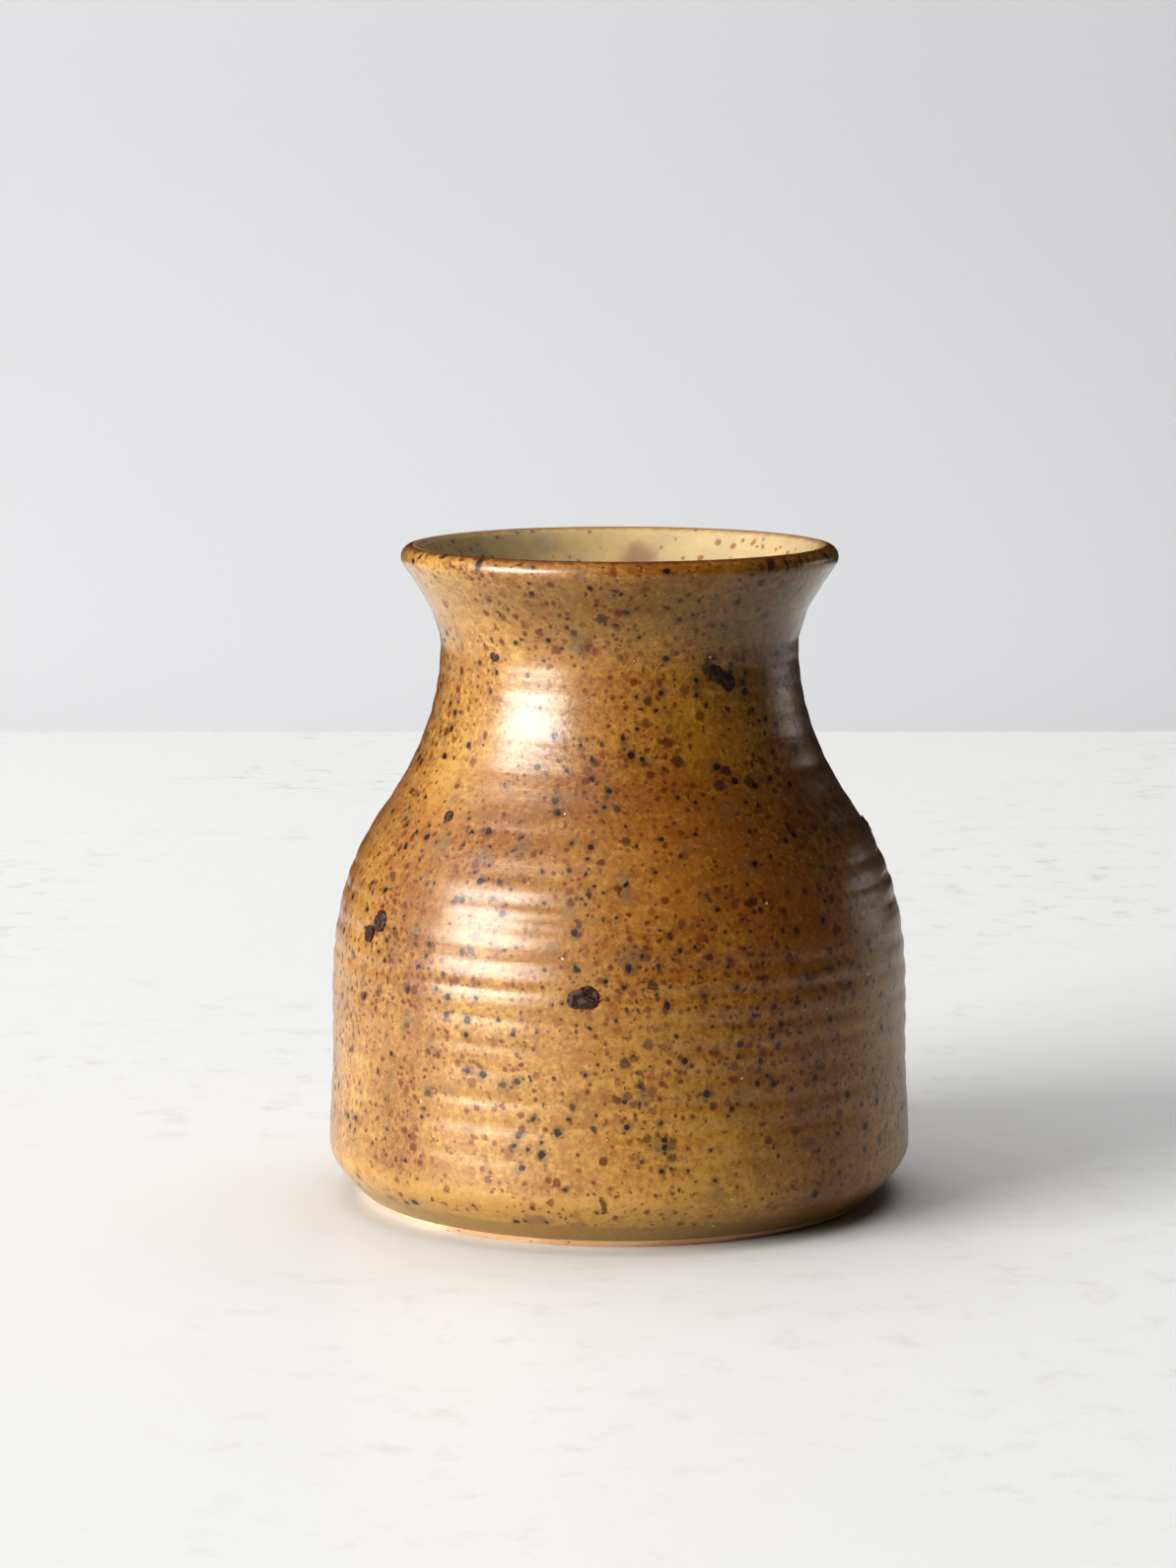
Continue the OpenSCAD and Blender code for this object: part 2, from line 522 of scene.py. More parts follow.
            place = torn if layer.torn else shaken
            density = bench.product(crowd, facing) if layer.faced else crowd
            share = bench.product(density, layer.share)
            mask, draw = bench.specks(place, layer.cell_mm, layer.size_mm, layer.soft_mm, share, layer.seed)
            strength = bench.span(draw, 0, layer.full_draw, layer.weak, layer.strong)
            bench.lay(bench.product(mask, clean, strength), layer.tint)
            masks[layer.name] = mask
        smear = bench.most(*(bench.patch(centre, radius, 0.6, torn) for centre, radius in self.smear))
        bench.lay(bench.product(smear, 0.9), self.soot_and_shade)
        bench.lay(bench.product(band, 0.45), self.olive)
        gap = bench.product(bench.mark("iron_gap"), 1 / MM)
        torn_edge = bench.scaled(bench.noise(bench.place, 1.2, 4.0, 0.7), -1.8, 0.65)
        stain = bench.span(bench.total(gap, torn_edge), 0.55, -0.15, 0.0, 0.92)
        bench.lay(stain, self.umber)
        bench.lay(bench.worn_crest(self.height_mm, 0.6), self.rust)
        # Pale pinholes: partly clay showing through, partly painted glint.
        pits, _ = bench.specks(bench.place, 5.5, 0.3, 0.25, 0.05, 131.0)
        bench.lay(bench.product(pits, 0.6), self.white)
        peel = bench.noise(bench.place, 0.9, 2.0, 0.5)
        ripple = bench.noise(bench.vector("MULTIPLY", bench.place, (0.12, 0.12, 1.3)), 1.0, 3.0, 0.6)
        depths = ((peel, 0.075), (ripple, 0.07), (masks["dots"], -0.05), (pits, -0.1))
        bench.relief(bench.total(*(bench.product(mark, depth) for mark, depth in depths)))
        roughness = bench.total(
            bench.span(bench.z, 76.0, 96.0, 0.42, 0.27),
            bench.span(bench.noise(bench.shifted(21), 0.35, 3.0, 0.6), 0.3, 0.7, -0.05, 0.07),
            bench.product(masks["dots"], 0.1),
        )
        gleam = {"Coat_Weight": 0.9, "Coat_Roughness": 0.31, "Coat_IOR": 1.45}
        return bench.finish(roughness, IOR=1.5, Specular_IOR_Level=0.3, **gleam)


@dataclass(frozen=True)
class LinerGlaze:
    """Cream and olive coat inside the vase."""

    height_mm: float
    cream: Colour = (0.37, 0.285, 0.17)
    straw: Colour = (0.44, 0.33, 0.175)
    moss: Colour = (0.36, 0.30, 0.18)
    mauve: Colour = (0.22, 0.14, 0.10)
    rust: Colour = (0.21, 0.07, 0.022)

    def material(self) -> bpy.types.Material:
        """Mixes the glaze.

        Returns:
            The material.
        """
        bench = Glazing("liner_glaze_finish")
        drifting = bench.ragged(9.0, 16.0, 5.0)
        side = bench.span(bench.split(drifting)[0], -36.0, 34.0)
        clouds = bench.noise(bench.place, 0.16, 4.0, 0.65)
        tone = bench.scaled(side, 0.3, bench.product(clouds, 0.8))
        bench.colour = bench.tones(tone, (0.34, self.moss), (0.5, self.straw), (0.8, self.cream))
        green = bench.patch((13.0, 36.0, 118.0), 7.0, 7.0, drifting)
        bench.lay(bench.product(green, 0.6), self.moss)
        soft_patch = bench.patch((4.0, 37.5, 118.5), 5.0, 4.0, bench.ragged(3.0, 5.0, 2.0))
        bench.lay(bench.product(soft_patch, 0.75), self.mauve)
        shaken = bench.ragged(0.3, 1.0, 3.0)
        fine, _ = bench.specks(shaken, 3.0, 0.8, 0.5, 0.4, 19.0)
        bench.lay(bench.product(fine, 0.75), self.rust)
        bench.lay(bench.worn_crest(self.height_mm, 0.45), self.rust)
        bench.relief(bench.product(bench.noise(bench.place, 0.8, 2.0), 0.05))
        gloss = bench.noise(bench.shifted(21), 0.3, 3.0)
        return bench.finish(bench.span(gloss, 0.3, 0.7, 0.3, 0.42), IOR=1.5)


@dataclass(frozen=True)
class BareClay:
    """Fired stoneware with no coat: peach buff, toasted in patches and darker and redder towards +X, with
    dark grog.
    """

    buff: Colour = (0.82, 0.58, 0.36)
    peach: Colour = (0.88, 0.68, 0.47)
    toast: Colour = (0.56, 0.24, 0.09)
    grog: Colour = (0.09, 0.045, 0.025)

    def material(self) -> bpy.types.Material:
        """Mixes the clay.

        Returns:
            The material.
        """
        bench = Glazing("bare_clay_finish")
        clouds = bench.noise(bench.place, 0.07, 3.0)
        bench.colour = bench.tones(clouds, (0.38, self.buff), (0.62, self.peach))
        toasted = bench.span(bench.noise(bench.shifted(33), 0.03, 3.0), 0.45, 0.62)
        # Darker and redder towards +X.
        east = bench.span(bench.x, -5.0, 45.0)
        bench.lay(bench.product(bench.most(toasted, east), 0.45), self.toast)
        grains, _ = bench.specks(bench.place, 2.4, 0.34, 0.15, 0.4, 11.0)
        bench.lay(bench.product(grains, 0.85), self.grog)
        sand = bench.noise(bench.place, 3.2, 3.0, 0.7)
        away = bench.vector("LENGTH", bench.join(bench.x, bench.y, 0.0))
        turning = bench.noise(bench.join(away, 0.0, bench.z), 1.4)
        bench.relief(bench.total(bench.product(sand, 0.09), bench.product(turning, 0.14)))
        return bench.finish(bench.span(sand, 0.3, 0.7, 0.78, 0.92), IOR=1.45)


@dataclass(frozen=True)
class MeltedIron:
    """Iron slag, dark brown mottled with bronze, with a pitted skin."""

    slag: Colour = (0.026, 0.013, 0.009)
    bronze: Colour = (0.072, 0.032, 0.016)

    def material(self) -> bpy.types.Material:
        """Mixes the slag.

        Returns:
            The material.
        """
        bench = Glazing("melted_iron_finish")
        crumbs = bench.noise(bench.place, 1.9, 4.0, 0.7)
        bench.colour = bench.tones(crumbs, (0.38, self.slag), (0.66, self.bronze))
        bench.relief(bench.product(crumbs, 0.07))
        return bench.finish(bench.span(crumbs, 0.3, 0.7, 0.42, 0.6), IOR=1.42)


@dataclass(frozen=True)
class PaleTable:
    """White laminate of the table, faintly mottled, with painted light: lighter towards the back."""

    near: Colour = (0.612, 0.616, 0.617)
    far: Colour = (0.712, 0.717, 0.718)
    cream: Colour = (0.575, 0.565, 0.545)

    def material(self) -> bpy.types.Material:
        """Mixes the table's finish.

        Returns:
            The material.
        """
        bench = Glazing("pale_table_finish")
        stain = bench.product(
            bench.span(bench.noise(bench.place, 0.09, 5.0, 0.7), 0.52, 0.72),
            bench.span(bench.noise(bench.shifted(70), 0.008, 3.0), 0.42, 0.62),
        )
        bench.colour = self.near
        # Painted light: lighter towards the back of the table.
        bench.lay(bench.span(bench.y, -300.0, 900.0), self.far)
        bench.lay(stain, self.cream)
        return bench.finish(0.34, IOR=1.14, Specular_IOR_Level=0.2)


@dataclass(frozen=True)
class GreyWall:
    """Grey studio wall, with painted shade: darker towards the top."""

    low: Colour = (0.542, 0.546, 0.558)
    high: Colour = (0.394, 0.397, 0.406)

    def material(self) -> bpy.types.Material:
        """Mixes the wall's finish.

        Returns:
            The material.
        """
        bench = Glazing("grey_wall_finish")
        bench.colour = self.low
        # Painted shade: darker towards the top of the wall.
        bench.lay(bench.span(bench.z, -190.0, 340.0), self.high)
        return bench.finish(0.9)


# The form of the vase


@dataclass(frozen=True)
class OutlinePoint:
    """A point of a turned outline, and how much of the throwing marks it takes."""

    r: float
    z: float
    thrown: float = 0.0


@dataclass(frozen=True)
class Station:
    """A height on the wall, with the wall's radius there and how much it leans outwards."""

    z: float
    r: float
    lean: float


@dataclass(frozen=True)
class Curve:
    """A smooth wall through stations, lowest first."""

    stations: tuple[Station, ...]

    def radius(self, z: float) -> float:
        """Finds the wall's radius.

        Args:
            z: Height above the table.

        Returns:
            The radius there.
        """
        pairs = list(zip(self.stations, self.stations[1:]))
        low, high = next((pair for pair in pairs if z <= pair[1].z), pairs[-1])
        rise = high.z - low.z
        t = (z - low.z) / rise
        back = 1 - t
        start = low.r * (1 + 2 * t) * back * back + low.lean * rise * t * back * back
        end = high.r * t * t * (3 - 2 * t) - high.lean * rise * t * t * back
        return start + end

    def climb(self, start: float, end: float, step: float) -> list[OutlinePoint]:
        """Walks along the wall.

        Args:
            start: Height of the first point.
            end: Height of the last point, above or below start.
            step: Longest stretch of wall between two points.

        Returns:
            The points, with thrown set to 1.
        """
        count = max(1, math.ceil(abs(end - start) * SLANT_ALLOWANCE / step))
        heights = [start + (end - start) * i / count for i in range(count + 1)]
        return [OutlinePoint(self.radius(z), z, thrown=1.0) for z in heights]


def turned_arc(r: float, z: float, radius: float, start: float, end: float, count: int) -> list[OutlinePoint]:
    """Makes the points of a round about (r, z), its angles in radians from straight outwards."""
    angles = [start + (end - start) * i / count for i in range(count + 1)]
    return [OutlinePoint(r + radius * math.cos(a), z + radius * math.sin(a)) for a in angles]


@dataclass(frozen=True)
class VaseForm:
    """Sizes of the vase, as the solids have them."""

    height: float
    belly_r: float
    foot_r: float = 49.2 * MM
    bevel_h: float = 10.5 * MM
    bevel_lean: float = 0.85
    bare_h: float = 1.6 * MM
    foot_ring_w: float = 8.0 * MM
    foot_recess: float = 1.5 * MM
    wall_h: float = 30.0 * MM
    wall_r: float = 56.0 * MM
    shoulder_drop: float = 51.5 * MM
    shoulder_r: float = 46.1 * MM
    shoulder_lean: float = 0.72
    neck_drop: float = 19.0 * MM
    neck_r: float = 34.65 * MM
    lip_outer_r: float = 42.2 * MM
    lip_round: float = 2.3 * MM
    flare_lean: float = 0.66
    wall_t: float = 5.0 * MM
    floor_t: float = 7.0 * MM
    corner_r: float = 10.0 * MM
    glaze_t: float = 0.35 * MM

    @property
    def lip_r(self) -> float:
        """Distance of the lip's crest from the axis."""
        return self.lip_outer_r - self.lip_round

    @property
    def lip_z(self) -> float:
        """Height of the centre of the lip's round."""
        return self.height - self.lip_round

    @property
    def flare_angle(self) -> float:
        """Angle at which the flare runs into the lip's round."""
        return math.atan(self.flare_lean)

    @property
    def shoulder_z(self) -> float:
        """Height of the steepest part of the shoulder."""
        return self.height - self.shoulder_drop

    @property
    def neck_z(self) -> float:
        """Height of the waist of the neck."""
        return self.height - self.neck_drop

    def flare_end(self, side: int) -> Station:
        """Finds where a wall runs into the lip's round: side is 1 for the outer wall, -1 for the inner."""
        rise, reach = math.sin(self.flare_angle), math.cos(self.flare_angle)
        r = self.lip_r + side * self.lip_round * reach
        return Station(self.lip_z - side * self.lip_round * rise, r, self.flare_lean)

    @property
    def outer(self) -> Curve:
        """The glazed outer wall, from the table to the lip's round."""
        stations = (
            Station(0.0, self.foot_r, self.bevel_lean),
            Station(self.bevel_h, self.belly_r, 0.0),
            Station(self.wall_h, self.wall_r, 0.0),
            Station(self.shoulder_z, self.shoulder_r, -self.shoulder_lean),
            Station(self.neck_z, self.neck_r, 0.0),
        )
        return Curve((*stations, self.flare_end(1)))

    @property
    def inner(self) -> Curve:
        """The glazed inner wall, from the hip to the lip's round."""
        slant = math.hypot(1.0, self.shoulder_lean)
        stations = (
            Station(self.bevel_h, self.belly_r - self.wall_t, 0.0),
            Station(self.wall_h, self.wall_r - self.wall_t, 0.0),
            Station(self.shoulder_z, self.shoulder_r - self.wall_t * slant, -self.shoulder_lean),
            Station(self.neck_z, self.neck_r - self.wall_t, 0.0),
        )
        return Curve((*stations, self.flare_end(-1)))

    def lip(self, start: float, end: float, sink: float, count: int) -> list[OutlinePoint]:
        """Makes part of the lip's round between two angles, sunk below the glazed surface."""
        return turned_arc(self.lip_r, self.lip_z, self.lip_round - sink, start, end, count)

    def floor_corner(self, sink: float, count: int) -> list[OutlinePoint]:
        """Makes the corner from the inner wall to the floor.

        Args:
            sink: How far below the glazed surface it lies.
            count: Number of stretches.

        Returns:
            The points, from the wall to the floor.
        """
        z = self.floor_t + self.corner_r
        r = self.inner.radius(z) - self.corner_r
        return turned_arc(r, z, self.corner_r + sink, 0.0, -math.pi / 2, count)


def sunk(points: Iterable[OutlinePoint], sink: float) -> list[OutlinePoint]:
    """Moves wall points away from the axis and takes the throwing marks off them."""
    return [OutlinePoint(p.r + sink, p.z) for p in points]


# Geometry Nodes


class GeometryBench(Bench):
    """A Geometry Nodes tree with named inputs, one geometry in and one geometry out."""

    def __init__(self, name: str) -> None:
        """Starts a tree.

        Args:
            name: The tree's name.
        """
        super().__init__(bpy.data.node_groups.new(name, "GeometryNodeTree"))
        self.tree.interface.new_socket("Geometry", in_out="INPUT", socket_type="NodeSocketGeometry")
        self.tree.interface.new_socket("Geometry", in_out="OUTPUT", socket_type="NodeSocketGeometry")
        self.inputs = self.add("NodeGroupInput")

    def offer(self, name: str, kind: str) -> Socket:
        """Adds a named input to the tree and returns the socket to read it from."""
        self.tree.interface.new_socket(name, in_out="INPUT", socket_type=f"NodeSocket{kind}")
        return self.inputs.outputs[name]

    def close(self, geometry: Socket, material: Socket) -> None:
        """Ends the tree with shade smooth, realised instances and a material.

        Args:
            geometry: The finished geometry.
            material: The material input.
        """
        smooth = self.out("GeometryNodeSetShadeSmooth", {"Geometry": geometry})
        real = self.out("GeometryNodeRealizeInstances", {"Geometry": smooth})
        dressed = self.out("GeometryNodeSetMaterial", {"Geometry": real, "Material": material})
        self.add("NodeGroupOutput", {0: dressed})

    def read_point(self, geometry: Feed, value: Feed, index: Feed, kind: str) -> Socket:
        """Reads a value from one point of a geometry.

        Args:
            geometry: The geometry.
            value: What to read there.
            index: The point's number.
            kind: FLOAT or FLOAT_VECTOR.

        Returns:
            The value.
        """
        feeds = {"Geometry": geometry, "Value": value, "Index": index}
        return self.out("GeometryNodeSampleIndex", feeds, data_type=kind, domain="POINT", clamp=True)

    def stored(self, name: str, kind: str) -> Socket:
        """Reads an attribute by name."""
        return self.out("GeometryNodeInputNamedAttribute", {"Name": name}, data_type=kind)

    def store(self, geometry: Feed, name: str, value: Feed) -> Socket:
        """Stores a number on every point, and returns the geometry that holds it."""
        feeds = {"Geometry": geometry, "Name": name, "Value": value}
        return self.out("GeometryNodeStoreNamedAttribute", feeds, data_type="FLOAT", domain="POINT")


def settled(source: Thing, name: str) -> Thing:
    """Turns an object with a live tree into a plain mesh piece, and removes the object.

    Args:
        source: The object.
        name: The piece's name.

    Returns:
        The piece, at the origin.
    """
    bpy.context.view_layer.update()
    live = source.evaluated_get(bpy.context.evaluated_depsgraph_get())
    mesh = bpy.data.meshes.new_from_object(live)
    mesh.name = name
    source.modifiers.clear()
    bpy.data.objects.remove(source)
    piece = bpy.data.objects.new(name, mesh)
    bpy.context.scene.collection.objects.link(piece)
    return piece


def run_tree(source: Thing, tree: bpy.types.NodeTree, settings: Feeds) -> None:
    """Puts a tree on an object and sets its inputs by their identifiers.

    Args:
        source: The object.
        tree: The tree.
        settings: Each input's name and value.
    """
    modifier = source.modifiers.new(tree.name, "NODES")
    modifier.node_group = tree
    for item in tree.interface.items_tree:
        if item.item_type == "SOCKET" and item.in_out == "INPUT" and item.name in settings:
            modifier[item.identifier] = settings[item.name]


def outline_object(name: str, points: Sequence[OutlinePoint]) -> Thing:
    """Makes a string of edges that holds an outline, with its outward direction on every point.

    Args:
        name: The object's name.
        points: The outline, with the solid on its left hand.

    Returns:
        The object.
    """
    mesh = bpy.data.meshes.new(name)
    mesh.from_pydata([(p.r, 0.0, p.z) for p in points], [(i, i + 1) for i in range(len(points) - 1)], [])
    thrown = mesh.attributes.new("thrown", "FLOAT", "POINT")
    outward = mesh.attributes.new("outward", "FLOAT_VECTOR", "POINT")
    for i, point in enumerate(points):
        before, after = points[max(i - 1, 0)], points[min(i + 1, len(points) - 1)]
        along = Vector((after.r - before.r, 0.0, after.z - before.z))
        along = along.normalized() if along.length > 0 else Vector((0.0, 0.0, 1.0))
        thrown.data[i].value = point.thrown
        outward.data[i].vector = (along.z, 0.0, -along.x)
    made = bpy.data.objects.new(name, mesh)
    bpy.context.scene.collection.objects.link(made)
    return made


class Wheel:
    """The potter's wheel: it turns an outline into a wall, with ridges that climb in one spiral."""

    INPUTS = (
        ("Points Round", "Int"),
        ("Ridge Depth", "Float"),
        ("Ridge Pitch", "Float"),
        ("Finger Line Depth", "Float"),
        ("Wobble", "Float"),
        ("Seed", "Float"),
        ("Iron Spots", "Object"),
        ("Material", "Material"),
    )
    FINGER_LINE_PITCH = 1.7 * MM
    SLIP_SCALE = 55.0
    SLIP_TURNS = 2.2
    FINGER_SLIP_TURNS = 30.0
    CREST_ROUNDING = 0.03
    PRESS_SCALE = 38.0
    SWAY_SCALE = 16.0
    SPOT_DIP = 0.12 * MM
    SPOT_RIM = 0.07 * MM
    SPOT_RIM_OUT = 0.9 * MM
    WELD = 0.002 * MM

    def __init__(self) -> None:
        """Builds the wheel's tree."""
        bench = GeometryBench("thrown_wall")
        self.tree = bench.tree
        rounds, depth, pitch, lines, wobble, seed, spots, material = (
            bench.offer(name, kind) for name, kind in self.INPUTS
        )
        outline = bench.inputs.outputs["Geometry"]
        rows = bench.add("GeometryNodeAttributeDomainSize", {"Geometry": outline}).outputs["Point Count"]
        columns = bench.total(rounds, 1.0)
        feeds = {"Size X": 1.0, "Size Y": 1.0, "Vertices X": columns, "Vertices Y": rows}
        sheet = bench.add("GeometryNodeMeshGrid", feeds).outputs["Mesh"]
        across, up, _ = bench.split(bench.out("GeometryNodeInputPosition"))
        turn = bench.product(bench.total(across, 0.5), math.tau)
        last = bench.less(rows, 1.0)
        row = bench.math("ROUND", bench.product(bench.total(up, 0.5), last))
        here = bench.out("GeometryNodeInputPosition")
        r, _, z = bench.split(bench.read_point(outline, here, row, "FLOAT_VECTOR"))
        facing = bench.stored("outward", "FLOAT_VECTOR")
        out_r, _, out_z = bench.split(bench.read_point(outline, facing, row, "FLOAT_VECTOR"))
        thrown = bench.read_point(outline, bench.stored("thrown", "FLOAT"), row, "FLOAT")
        cos, sin = bench.math("COSINE", turn), bench.math("SINE", turn)
        place = bench.join(bench.product(r, cos), bench.product(r, sin), z)
        seeded = bench.vector("ADD", place, bench.join(seed, seed, seed))
        slip = bench.noise(bench.join(seed, seed, z), self.SLIP_SCALE)
        phase = bench.total(
            bench.math("DIVIDE", z, pitch),
            bench.math("DIVIDE", turn, math.tau),
            bench.product(slip, self.SLIP_TURNS),
        )
        wave = bench.math("SINE", bench.product(phase, math.pi))
        ridge = bench.math("SQRT", bench.scaled(wave, wave, self.CREST_ROUNDING), clamp=True)
        press = bench.span(bench.noise(seeded, self.PRESS_SCALE), 0.35, 0.65, 0.35, 1.35)
        groove = bench.product(bench.less(ridge, 1.0), depth, press, thrown)
        lines_up = bench.product(z, math.tau / self.FINGER_LINE_PITCH)
        fine_phase = bench.total(lines_up, turn, bench.product(slip, self.FINGER_SLIP_TURNS))
        fine = bench.product(bench.math("SINE", fine_phase), lines, thrown)
        sway = bench.less(bench.noise(seeded, self.SWAY_SCALE), 0.5)
        gap = self.iron_gap(bench, spots, place)
        out = self.SPOT_RIM_OUT
        dip = bench.product(bench.span(gap, out, -0.3 * MM), -self.SPOT_DIP, thrown)
        rim = bench.product(bench.belt(gap, out, 0.35 * MM, 0.7 * MM), self.SPOT_RIM, thrown)
        push = bench.total(groove, fine, bench.product(sway, 2.0, wobble), dip, rim)
        r = bench.scaled(out_r, push, r)
        z = bench.scaled(out_z, push, z)
        feeds = {"Geometry": sheet, "Position": bench.join(bench.product(r, cos), bench.product(r, sin), z)}
        moved = bench.out("GeometryNodeSetPosition", feeds)
        marked = bench.store(moved, "iron_gap", gap)
        line = bench.scaled(thrown, bench.less(ridge, 1.0), 1.0)
        marked = bench.store(marked, "throw_line", line)
        feeds = {"Geometry": marked, "Distance": self.WELD}
        closed = bench.out("GeometryNodeMergeByDistance", feeds)
        bench.close(closed, material)

    @staticmethod
    def iron_gap(bench: GeometryBench, spots: Feed, place: Feed) -> Socket:
        """Measures how far a place is from the edge of the nearest iron spot.

        Args:
            bench: The tree.
            spots: The object whose points are the spots, with their radii in the attribute size.
            place: The place.

        Returns:
            The distance, negative inside the spot.
        """
        points = bench.add("GeometryNodeObjectInfo", {"Object": spots}).outputs["Geometry"]
        feeds = {"Geometry": points, "Sample Position": place}
        nearest = bench.out("GeometryNodeSampleNearest", feeds, domain="POINT")
        here = bench.out("GeometryNodeInputPosition")
        centre = bench.read_point(points, here, nearest, "FLOAT_VECTOR")
        size = bench.read_point(points, bench.stored("size", "FLOAT"), nearest, "FLOAT")
        return bench.less(bench.vector("DISTANCE", place, centre), size)

    def turn(self, name: str, points: Sequence[OutlinePoint], settings: Feeds) -> Thing:
        """Turns an outline.

        Args:
            name: The piece's name.
            points: The outline.
            settings: The tree's inputs.

        Returns:
            The piece.
        """
        source = outline_object(name + "_outline", points)
        run_tree(source, self.tree, settings)
        return settled(source, name)


# Sub-assemblies


def hand_over(piece: Thing, node: str) -> Thing:
    """Puts a piece in the frame in place of a CAD node.

    Args:
        piece: The piece.
        node: The CAD node that it stands for.

    Returns:
        The piece.
    """
    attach(piece, BODY)
    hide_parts(node)
    LOG.info("%s: %d points, %d faces", piece.name, len(piece.data.vertices), len(piece.data.polygons))
    return piece


@dataclass(frozen=True)
class IronSpot:
    """A large iron spot: height above the table, bearing from +X in degrees, and radius."""

    height_mm: float
    bearing: float
    radius_mm: float


@dataclass
class IronSpots:
    """The large spots of melted iron that sit in the outer coat."""

    form: VaseForm
    belly: tuple[IronSpot, ...] = (
        IronSpot(48.2, -96.5, 2.2), IronSpot(47.9, -98.5, 1.8), IronSpot(58.2, -147.0, 2.1),
        IronSpot(55.4, -150.5, 1.6), IronSpot(38.0, 31.0, 1.3), IronSpot(61.0, 88.0, 2.1),
        IronSpot(58.6, 92.0, 1.5), IronSpot(30.0, 118.0, 1.2), IronSpot(44.0, 171.0, 1.6),
    )
    neck: tuple[IronSpot, ...] = (
        IronSpot(-21.8, -59.5, 1.7), IronSpot(-23.8, -54.5, 1.7), IronSpot(-48.7, -137.0, 1.1),
        IronSpot(-19.0, -133.0, 1.1), IronSpot(-55.0, 4.0, 2.0), IronSpot(-31.0, 52.0, 1.4),
        IronSpot(-44.0, 139.0, 1.8),
    )
    dome: float = 0.09
    raggedness: float = 0.8 * MM
    grain: float = 640.0
    points: Thing | None = field(default=None, init=False)

    def scatter(self) -> Thing:
        """Makes the object whose points are the spots. Neck spots are measured down from the lip.

        Returns:
            The object, which the walls read before it is removed.
        """
        lifted = [IronSpot(self.form.height / MM + s.height_mm, s.bearing, s.radius_mm) for s in self.neck]
        spots = [*self.belly, *lifted]
        mesh = bpy.data.meshes.new("iron_spot_points")
        places, facings = [], []
        for spot in spots:
            z, bearing, step = spot.height_mm * MM, math.radians(spot.bearing), 0.5 * MM
            r = self.form.outer.radius(z)
            lean = (self.form.outer.radius(z + step) - self.form.outer.radius(z - step)) / (2 * step)
            level = Vector((math.cos(bearing), math.sin(bearing), 0.0))
            places.append(level * r + Vector((0.0, 0.0, z)))
            facings.append((level - Vector((0.0, 0.0, lean))).normalized())
        mesh.from_pydata(places, [], [])
        size = mesh.attributes.new("size", "FLOAT", "POINT")
        facing = mesh.attributes.new("facing", "FLOAT_VECTOR", "POINT")
        for i, spot in enumerate(spots):
            size.data[i].value = spot.radius_mm * MM
            facing.data[i].vector = facings[i]
        self.points = bpy.data.objects.new("iron_spot_points", mesh)
        bpy.context.scene.collection.objects.link(self.points)
        return self.points

    def tree(self) -> bpy.types.NodeTree:
        """Builds the tree that melts a lump onto every point.

        Returns:
            The tree.
        """
        bench = GeometryBench("melted_lumps")
        dome = bench.offer("Dome", "Float")
        rough = bench.offer("Raggedness", "Float")
        material = bench.offer("Material", "Material")
        lump = bench.add("GeometryNodeMeshIcoSphere", {"Radius": 1.0, "Subdivisions": 5}).outputs["Mesh"]
        feeds = {"Geometry": lump, "Scale": bench.join(1.0, 1.0, dome)}
        flat = bench.out("GeometryNodeTransform", feeds)
        feeds = {"Vector": bench.stored("facing", "FLOAT_VECTOR")}
        align = bench.out("FunctionNodeAlignRotationToVector", feeds, axis="Z")
        size = bench.stored("size", "FLOAT")
        feeds = {
            "Points": bench.inputs.outputs["Geometry"],
            "Instance": flat,
            "Rotation": align,
            "Scale": bench.join(size, size, size),
        }
        lumps = bench.out("GeometryNodeInstanceOnPoints", feeds)
        real = bench.out("GeometryNodeRealizeInstances", {"Geometry": lumps})
        here = bench.out("GeometryNodeInputPosition")
        feeds = {"Vector": here, "Scale": self.grain, "Detail": 2.0, "Roughness": 0.6}
        lumpy = bench.add("ShaderNodeTexNoise", feeds).outputs["Color"]
        shake = bench.vector("SUBTRACT", lumpy, (0.5, 0.5, 0.5))
        feeds = {"Geometry": real, "Offset": bench.vector("SCALE", shake, rough)}
        bench.close(bench.out("GeometryNodeSetPosition", feeds), material)
        return bench.tree

    def melt(self, finish: MeltedIron) -> Thing:
        """Makes the lumps from the points.

        Args:
            finish: Their finish.

        Returns:
            The piece.
        """
        settings = {"Dome": self.dome, "Raggedness": self.raggedness, "Material": finish.material()}
        run_tree(self.points, self.tree(), settings)
        return hand_over(settled(self.points, "iron_spot_lumps"), "iron_spots")


@dataclass
class ThrownPart:
    """A part turned on the wheel: its piece, the node it stands for and its throwing marks."""

    form: VaseForm
    wheel: Wheel
    piece: str = ""
    node: str = ""
    skin: Skin = Skin.CLAY
    points_round: int = 240
    ridge_depth: float = 0.0
    ridge_pitch: float = 6.0 * MM
    finger_line_depth: float = 0.0
    wobble: float = 0.0
    seed: float = 1.0

    def outline(self) -> list[OutlinePoint]:
        """Draws the part's outline, each part in its own way."""
        raise NotImplementedError

    def build(self, spots: Thing, finish: AmberGlaze | LinerGlaze | BareClay) -> Thing:
        """Throws and dresses the part.

        Args:
            spots: The iron spots' points.
            finish: Its finish.

        Returns:
            The piece.
        """
        settings = {
            "Points Round": self.points_round,
            "Ridge Depth": self.ridge_depth,
            "Ridge Pitch": self.ridge_pitch,
            "Finger Line Depth": self.finger_line_depth,
            "Wobble": self.wobble,
            "Seed": self.seed,
            "Iron Spots": spots,
            "Material": finish.material(),
        }
        return hand_over(self.wheel.turn(self.piece, self.outline(), settings), self.node)


